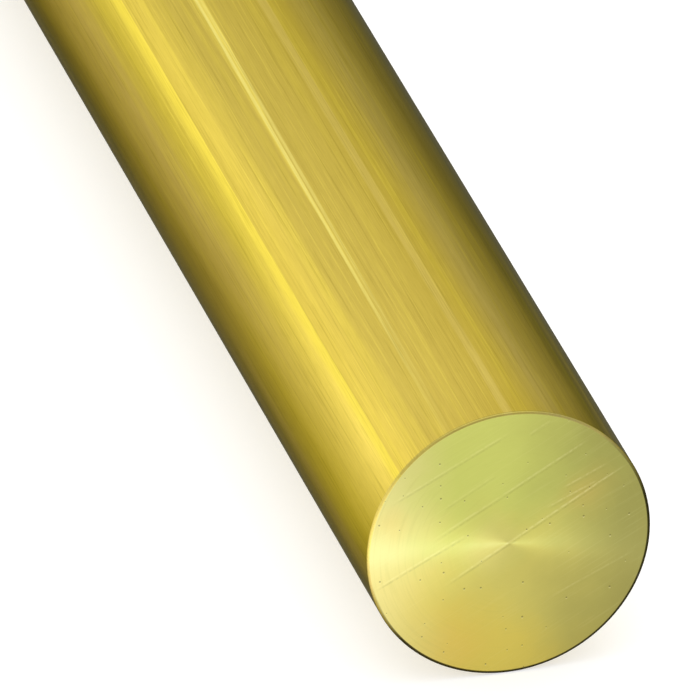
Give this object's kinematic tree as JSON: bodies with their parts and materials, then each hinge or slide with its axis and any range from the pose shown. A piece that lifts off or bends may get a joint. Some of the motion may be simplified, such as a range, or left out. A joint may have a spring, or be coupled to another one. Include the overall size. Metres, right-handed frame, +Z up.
{
  "type": "round metal bar",
  "caption": "Solid round bar of drawn brass with square-cut, lightly deburred ends, stock for turning, milling and shafts.",
  "frame": {"origin": "on the floor plane, under the middle of the bar, whose axis is half a diameter above it", "axes": "+X along the bar's axis, towards the cut end that faces the viewer; +Z up; +Y across the bar"},
  "size_m": [0.3, 0.025, 0.025],
  "materials": {
    "drawn_brass": "bright drawn, with fine lengthwise draw lines and machine-cut ends"
  },
  "bodies": {
    "root": {"round_bar": "drawn_brass"}
  },
  "joints": []
}
